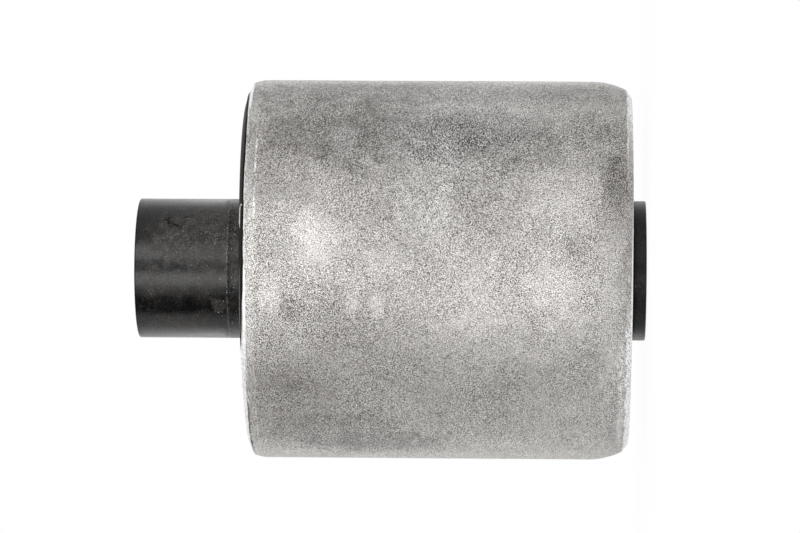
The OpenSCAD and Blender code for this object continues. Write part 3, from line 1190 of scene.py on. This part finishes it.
def bead(name, line, sleeve, lift, tree, values):
    """A bead along a line over the rim, given as degrees round it and the share of the way over it."""
    points = [rim_spot(sleeve, turn_deg, share, lift) for turn_deg, share in line]
    edges = [(i, i + 1) for i in range(len(points) - 1)]
    return run_tree(mesh_object(name, points, edges), tree, values)


# The torn sliver on the rim, as degrees round it and the share of the way over it, ending in a hook
SLIVER_LINE = (
    (12.3, 1.30), (14.0, 1.26), (16.5, 1.24), (18.6, 1.26), (19.4, 1.40), (19.6, 1.65), (19.2, 1.80))
# A thin lifted edge of the skin, coloured light brown as a painted sheen, in the same form
SHEEN_EDGE_LINE = ((2.0, 1.30), (-3.0, 1.28), (-9.0, 1.30), (-15.0, 1.28), (-21.0, 1.32))


# Steps round each turned piece
SLEEVE_STEPS = 384
RUBBER_STEPS = 320
TUBE_STEPS = 256
# Waves of the sleeve's wall in a metre
WAVE_SCALE = 55.0
# Shares of the rim's height from which the rim and the nose start to lean
RIM_LEAN_FROM = 0.7
NOSE_LEAN_FROM = 0.3
# Gloss of the moulded rubber and of the torn skin
RUBBER_GLOSS = 0.35
SKIN_GLOSS = 0.05
# Radius, step and lumps in a metre of the sliver and of the lifted edge
SLIVER_BEAD = (0.13 * MM, 0.12 * MM, 2500.0)
SHEEN_EDGE_BEAD = (0.07 * MM, 0.15 * MM, 1500.0)
# How many crumbs of flash lie along the witness ring, how far they stray from it, and their seed
CRUMB_COUNT = 190
CRUMB_SPREAD = 2.2 * MM
CRUMB_SEED = 7


# Operators

class BUSHING_OT_outer_sleeve(bpy.types.Operator):
    """Build the steel outer sleeve, with its rolled nose and turned edges."""

    bl_idname = "bushing.outer_sleeve"
    bl_label = "Outer Sleeve"

    def execute(self, context):
        settings = context.scene.bushing_sleeve
        piece = turned_piece("sleeve_steel", sleeve_section(settings), {
            "Path radius": SLEEVE_R, "Steps": SLEEVE_STEPS,
            "Waviness": settings.waviness, "Wave scale": WAVE_SCALE,
            "Lean": math.tan(settings.rim_lean),
            "Lean from": RIM_LEAN_FROM * RIM_Z, "Lean to": LEAD_START_Z,
            "Foot lean": -math.tan(settings.nose_lean),
            "Foot lean from": NOSE_LEAN_FROM * RIM_Z, "Foot lean to": NOSE_Z + NOSE_LEN,
            "Material": sleeve_steel(settings)})
        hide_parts("outer_sleeve")
        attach(piece, "outer")
        return {"FINISHED"}


class BUSHING_OT_rubber_body(bpy.types.Operator):
    """Build the bonded rubber, with its leaning rim face and moulded grooves."""

    bl_idname = "bushing.rubber_body"
    bl_label = "Rubber Body"

    def execute(self, context):
        rubber = context.scene.bushing_rubber
        sleeve = context.scene.bushing_sleeve
        piece = turned_piece("rubber_moulded", rubber_section(rubber, sleeve), {
            "Path radius": CAVITY_R, "Steps": RUBBER_STEPS, "Lean": math.tan(rubber.face_lean),
            "Lean from": RIM_Z / 2, "Lean to": RIM_Z - 2 * rubber.groove_depth,
            "Material": moulded_rubber(rubber, "moulded_rubber", RUBBER_GLOSS)})
        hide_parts("rubber_body")
        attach(piece, "outer")
        return {"FINISHED"}


class BUSHING_OT_inner_sleeve(bpy.types.Operator):
    """Build the black inner sleeve, with its bore and the mould's witness ring."""

    bl_idname = "bushing.inner_sleeve"
    bl_label = "Inner Sleeve"

    def execute(self, context):
        settings = context.scene.bushing_tube
        piece = turned_piece("tube_coated", tube_section(settings), {
            "Path radius": TUBE_R, "Steps": TUBE_STEPS, "Material": black_coat(settings)})
        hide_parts("inner_sleeve")
        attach(piece, "inner")
        return {"FINISHED"}


class BUSHING_OT_rim_skin(bpy.types.Operator):
    """Build the thin rubber skin that laps over the rim, and the torn sliver of flash on it."""

    bl_idname = "bushing.rim_skin"
    bl_label = "Rim Skin"

    def execute(self, context):
        rubber = context.scene.bushing_rubber
        sleeve = context.scene.bushing_sleeve
        points, faces = skin_mesh(rubber, sleeve)
        skin = mesh_object("rim_skin", points, faces=faces)
        skin.data.materials.append(moulded_rubber(rubber, "torn_rubber", SKIN_GLOSS))
        skin.data.shade_smooth()
        face_outwards(skin.data)
        tree = bead_tree()
        radius, pace, lumps = SLIVER_BEAD
        sliver = bead("rim_sliver", SLIVER_LINE, sleeve, rubber.skin_thickness, tree, {
            "Radius": radius, "Step": pace, "Lumps": lumps,
            "Material": flash_rubber("flash_rubber", rubber.black, rubber.flash)})
        # The lifted edge: a thin bead coloured light brown as a painted sheen
        radius, pace, lumps = SHEEN_EDGE_BEAD
        lifted = bead("rim_edge", SHEEN_EDGE_LINE, sleeve, rubber.skin_thickness, tree, {
            "Radius": radius, "Step": pace, "Lumps": lumps,
            "Material": flash_rubber("lifted_rubber", rubber.black, rubber.lifted)})
        for piece in (skin, sliver, lifted):
            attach(piece, "outer")
        return {"FINISHED"}


class BUSHING_OT_mould_flash(bpy.types.Operator):
    """Scatter the crumbs of flash along the witness ring."""

    bl_idname = "bushing.mould_flash"
    bl_label = "Mould Flash"

    def execute(self, context):
        settings = context.scene.bushing_tube
        piece = run_tree(mesh_object("flash_crumbs", []), crumbs_tree(), {
            "Ring radius": TUBE_R + settings.witness_ridge / 2,
            "Ring height": RIM_Z + settings.witness_height,
            "Count": CRUMB_COUNT, "Spread": CRUMB_SPREAD, "Size": settings.crumb_size, "Seed": CRUMB_SEED,
            "Material": bpy.data.materials["flash_rubber"]})
        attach(piece, "inner")
        return {"FINISHED"}


# The photograph's frame, in pixels
PHOTO_WIDTH = 800
PHOTO_HEIGHT = 533
# The pixel at which the view is square to the bushing's axis
SQUARE_PX = (538.0, 270.25)
SENSOR_WIDTH = 36.0

# Lamps: degrees round from -Y, distance, height of the middle, width, height and brightness against white
LAMPS = {
    "strip_right": (26, 0.95, 0.40, 0.42, 0.80, 3.1),
    "strip_left": (-18, 0.95, 0.40, 0.34, 0.80, 4.0),
    "rear_right": (140, 1.00, 0.08, 0.55, 0.16, 1.2),
    "rear_left": (-134, 1.00, 0.08, 0.55, 0.16, 1.35),
}
# Dark cards, which only reflections show: degrees round, distance, width and height
CARDS = {
    "card_left": (-63.5, 0.80, 0.52, 0.34),
}
TOP_LAMP_SIZE = 1.0
TOP_LAMP_HEIGHT = 1.3
TOP_LAMP_BRIGHTNESS = 1.0
# The floor's reach, the reach of the part of it that takes a shadow, and its number of sides
FLOOR_REACH = 3.0
SHADED_REACH = 0.1
FLOOR_SIDES = 96
WHITE = (1.0, 1.0, 1.0, 1.0)
FLOOR_COLOUR = (0.92, 0.92, 0.92, 1.0)
CARD_COLOUR = (0.004, 0.004, 0.004, 1.0)


class BUSHING_OT_stage(bpy.types.Operator):
    """Set up the floor, the soft light and the photograph's view."""

    bl_idname = "bushing.stage"
    bl_label = "Stage"

    def execute(self, context):
        settings = context.scene.bushing_stage
        context.scene.view_settings.view_transform = "Standard"
        add_camera(context.scene, settings)
        add_lamps()
        add_cards()
        add_floor(settings)
        add_world(context.scene, settings)
        return {"FINISHED"}


def add_camera(scene, settings):
    """The camera lies on its side: the picture's right is -Z, and its top is +X."""
    data = bpy.data.cameras.new("photo_camera")
    data.sensor_fit = "HORIZONTAL"
    data.sensor_width = SENSOR_WIDTH
    data.lens = settings.focal_px / PHOTO_WIDTH * SENSOR_WIDTH
    right_px = SQUARE_PX[0] - PHOTO_WIDTH / 2
    down_px = SQUARE_PX[1] - PHOTO_HEIGHT / 2
    square = Matrix(((0.0, 1.0, 0.0), (0.0, 0.0, -1.0), (-1.0, 0.0, 0.0)))
    yaw = Matrix.Rotation(math.atan(right_px / settings.focal_px), 3, "Y")
    turn = square @ yaw @ Matrix.Rotation(settings.roll, 3, "Z")
    depth = settings.distance * settings.focal_px / math.hypot(settings.focal_px, right_px)
    sight = Vector((right_px / settings.focal_px, -down_px / settings.focal_px, -1.0)) * depth
    camera = bpy.data.objects.new("photo_camera", data)
    camera.matrix_world = Matrix.Translation(
        Vector((0.0, 0.0, settings.square_height)) - turn @ sight) @ turn.to_4x4()
    scene.collection.objects.link(camera)
    scene.camera = camera


def round_place(turn_deg, distance, height):
    """A place round the bushing."""
    turn = math.radians(turn_deg)
    return Vector((math.sin(turn) * distance, -math.cos(turn) * distance, height))


def add_area_lamp(name, place, aim, width, height, brightness):
    """A rectangular lamp that faces a point. Its brightness is that of its face, with white as 1."""
    data = bpy.data.lights.new(name, "AREA")
    data.shape = "RECTANGLE"
    data.size = width
    data.size_y = height
    data.energy = brightness * math.pi * width * height
    lamp = bpy.data.objects.new(name, data)
    lamp.location = place
    lamp.rotation_euler = (aim - place).to_track_quat("-Z", "Y").to_euler()
    bpy.context.scene.collection.objects.link(lamp)


def add_lamps():
    """Upright strips round the bushing, and a soft box over it."""
    for name, (turn_deg, distance, middle, width, height, brightness) in LAMPS.items():
        place = round_place(turn_deg, distance, middle)
        add_area_lamp(name, place, Vector((0.0, 0.0, middle)), width, height, brightness)
    above = Vector((0.0, 0.0, TOP_LAMP_HEIGHT))
    add_area_lamp("soft_box", above, Vector(), TOP_LAMP_SIZE, TOP_LAMP_SIZE, TOP_LAMP_BRIGHTNESS)


def add_cards():
    """Dark cards beside the bushing, which the polished surfaces reflect."""
    material, _, _ = start_material("card_black", {
        "Base Color": CARD_COLOUR, "Roughness": 1.0, "Specular IOR Level": 0.0})
    for name, (turn_deg, distance, width, height) in CARDS.items():
        middle = round_place(turn_deg, distance, 0.0)
        along = round_place(turn_deg + 90, width / 2, 0.0)
        corners = [middle - along, middle + along]
        points = [*corners, *(p + Vector((0.0, 0.0, height)) for p in reversed(corners))]
        card = mesh_object(name, points, faces=[(0, 1, 2, 3)])
        card.data.materials.append(material)
        card.visible_camera = False
        card.visible_diffuse = False
        card.visible_transmission = False
        card.visible_shadow = False


def seen_share(start):
    """1 for rays that show a surface: from the camera, off gloss or through glass."""
    path = start.add("ShaderNodeLightPath", output="Is Camera Ray")
    return larger(larger(path, path.other("Is Glossy Ray")), path.other("Is Transmission Ray"))


def add_floor(settings):
    """A pale round floor, which looks white and takes the bushing's soft shadow."""
    rim = [round_place(360 * i / FLOOR_SIDES, FLOOR_REACH, 0.0) for i in range(FLOOR_SIDES)]
    floor = mesh_object("floor", rim, faces=[tuple(range(FLOOR_SIDES))])
    material = bpy.data.materials.new("pale_floor")
    material.use_nodes = True
    tree = material.node_tree
    tree.nodes.clear()
    start = Wire(tree)
    matt = start.add("ShaderNodeBsdfDiffuse", None, {"Color": FLOOR_COLOUR})
    glow = start.add("ShaderNodeEmission", None, {"Color": WHITE, "Strength": 1.0})
    where = start.add("ShaderNodeTexCoord", output="Object")
    shaded = step(length(where), SHADED_REACH, SHADED_REACH / 4) * settings.shadow_share
    share = seen_share(start) * (1.0 - shaded)
    mixed = start.add("ShaderNodeMixShader", None, {0: share, 1: matt, 2: glow})
    start.add("ShaderNodeOutputMaterial", None, {"Surface": mixed})
    floor.data.materials.append(material)


def add_world(scene, settings):
    """White behind everything, and an even light."""
    world = bpy.data.worlds.new("studio")
    world.use_nodes = True
    tree = world.node_tree
    tree.nodes.clear()
    start = Wire(tree)
    even = start.add("ShaderNodeBackground", None, {"Color": WHITE, "Strength": settings.ambient})
    white = start.add("ShaderNodeBackground", None, {"Color": WHITE, "Strength": 1.0})
    mixed = start.add("ShaderNodeMixShader", None, {0: seen_share(start), 1: even, 2: white})
    start.add("ShaderNodeOutputWorld", None, {"Surface": mixed})
    scene.world = world


# Panel and registration

PIECE_OPERATORS = (
    BUSHING_OT_outer_sleeve,
    BUSHING_OT_rubber_body,
    BUSHING_OT_inner_sleeve,
    BUSHING_OT_rim_skin,
    BUSHING_OT_mould_flash,
    BUSHING_OT_stage,
)
SETTINGS = {
    "bushing_sleeve": SleeveSettings,
    "bushing_rubber": RubberSettings,
    "bushing_tube": TubeSettings,
    "bushing_stage": StageSettings,
}


class BUSHING_PT_panel(bpy.types.Panel):
    """Lists the bushing's settings and the operators that build it."""

    bl_idname = "BUSHING_PT_panel"
    bl_label = "Control Arm Bushing"
    bl_space_type = "VIEW_3D"
    bl_region_type = "UI"
    bl_category = "Bushing"

    def draw(self, context):
        for name, group in SETTINGS.items():
            box = self.layout.box()
            for prop in group.__annotations__:
                box.prop(getattr(context.scene, name), prop)
        for operator in PIECE_OPERATORS:
            self.layout.operator(operator.bl_idname)


CLASSES = (*SETTINGS.values(), *PIECE_OPERATORS, BUSHING_PT_panel)


def register():
    """Register the settings, the operators and the panel."""
    for cls in CLASSES:
        bpy.utils.register_class(cls)
    for name, group in SETTINGS.items():
        setattr(bpy.types.Scene, name, bpy.props.PointerProperty(type=group))


def unregister():
    """Take them away again."""
    for name in SETTINGS:
        delattr(bpy.types.Scene, name)
    for cls in reversed(CLASSES):
        bpy.utils.unregister_class(cls)


def main():
    """Build every piece and the stage."""
    register()
    bpy.ops.bushing.outer_sleeve()
    bpy.ops.bushing.rubber_body()
    bpy.ops.bushing.inner_sleeve()
    bpy.ops.bushing.rim_skin()
    bpy.ops.bushing.mould_flash()
    bpy.ops.bushing.stage()


if __name__ == "__main__":
    main()
